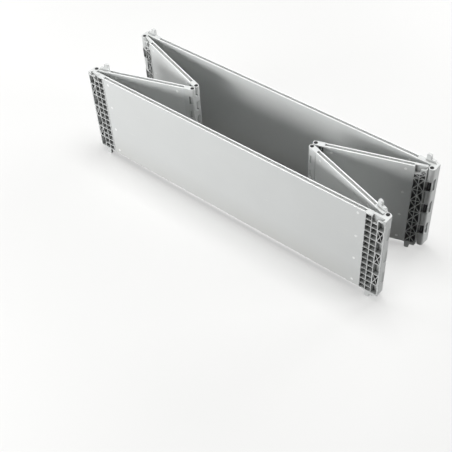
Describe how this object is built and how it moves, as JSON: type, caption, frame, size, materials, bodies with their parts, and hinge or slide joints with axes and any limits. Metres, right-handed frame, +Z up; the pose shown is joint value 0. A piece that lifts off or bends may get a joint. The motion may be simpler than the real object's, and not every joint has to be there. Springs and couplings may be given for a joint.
{
  "type": "pallet collar",
  "caption": "Folding plastic pallet collar: hollow sheet walls with ribbed hinge fittings and stacking tabs, whose short sides fold inward so that it packs flat.",
  "frame": {"origin": "on the floor plane of the lowest tab tips, under the middle of the half folded collar", "axes": "+X along the long walls, +Y from the front wall to the back wall, +Z up"},
  "size_m": [1.2, 0.302, 0.38],
  "materials": {
    "sheet": "satin light grey extruded polypropylene",
    "fitting": "satin light grey moulded polypropylene",
    "pin": "black hinge pin, low gloss"
  },
  "bodies": {
    "front_wall": {"front_sheet": "sheet", "front_left_end_fitting": "fitting", "front_right_end_fitting": "fitting", "front_left_corner_pin": "pin", "front_right_corner_pin": "pin"},
    "back_wall": {"back_sheet": "sheet", "back_left_end_fitting": "fitting", "back_right_end_fitting": "fitting", "back_left_corner_pin": "pin", "back_right_corner_pin": "pin"},
    "left_front_half": {"left_front_sheet": "sheet", "left_front_corner_fitting": "fitting", "left_front_middle_fitting": "fitting"},
    "left_back_half": {"left_back_sheet": "sheet", "left_back_corner_fitting": "fitting", "left_back_middle_fitting": "fitting"},
    "left_links": {"left_link_1": "fitting", "left_link_2": "fitting", "left_link_3": "fitting", "left_link_4": "fitting", "left_link_5": "fitting", "left_front_middle_pin": "pin", "left_back_middle_pin": "pin"},
    "right_front_half": {"right_front_sheet": "sheet", "right_front_corner_fitting": "fitting", "right_front_middle_fitting": "fitting"},
    "right_back_half": {"right_back_sheet": "sheet", "right_back_corner_fitting": "fitting", "right_back_middle_fitting": "fitting"},
    "right_links": {"right_link_1": "fitting", "right_link_2": "fitting", "right_link_3": "fitting", "right_link_4": "fitting", "right_link_5": "fitting", "right_front_middle_pin": "pin", "right_back_middle_pin": "pin"}
  },
  "joints": [
    {"name": "left_middle_front_hinge", "type": "hinge", "parent": "left_links", "child": "left_front_half", "pos_m": [-0.24473, -0.0101, 0], "axis": [0, 0, 1], "range_deg": [-18, 72]},
    {"name": "left_front_hinge", "type": "hinge", "parent": "left_front_half", "child": "front_wall", "pos_m": [-0.5874, -0.12144, 0], "axis": [0, 0, 1], "range_deg": [-72, 18]},
    {"name": "left_middle_back_hinge", "type": "hinge", "parent": "left_links", "child": "left_back_half", "pos_m": [-0.24473, 0.0101, 0], "axis": [0, 0, 1], "range_deg": [-72, 18]},
    {"name": "left_back_hinge", "type": "hinge", "parent": "left_back_half", "child": "back_wall", "pos_m": [-0.5874, 0.12144, 0], "axis": [0, 0, 1], "range_deg": [-18, 72]},
    {"name": "right_front_hinge", "type": "hinge", "parent": "front_wall", "child": "right_front_half", "pos_m": [0.5874, -0.12144, 0], "axis": [0, 0, 1], "range_deg": [-72, 18]},
    {"name": "right_middle_front_hinge", "type": "hinge", "parent": "right_front_half", "child": "right_links", "pos_m": [0.24473, -0.0101, 0], "axis": [0, 0, 1], "range_deg": [-18, 72]},
    {"name": "right_middle_back_hinge", "type": "hinge", "parent": "right_links", "child": "right_back_half", "pos_m": [0.24473, 0.0101, 0], "axis": [0, 0, 1], "range_deg": [-18, 72]}
  ],
  "couplings": [
    {"joint": "left_front_hinge", "follows": "left_middle_front_hinge", "ratio": -1},
    {"joint": "left_middle_back_hinge", "follows": "left_middle_front_hinge", "ratio": -1},
    {"joint": "left_back_hinge", "follows": "left_middle_front_hinge", "ratio": 1},
    {"joint": "right_front_hinge", "follows": "left_middle_front_hinge", "ratio": -1},
    {"joint": "right_middle_front_hinge", "follows": "left_middle_front_hinge", "ratio": 1},
    {"joint": "right_middle_back_hinge", "follows": "left_middle_front_hinge", "ratio": 1}
  ]
}
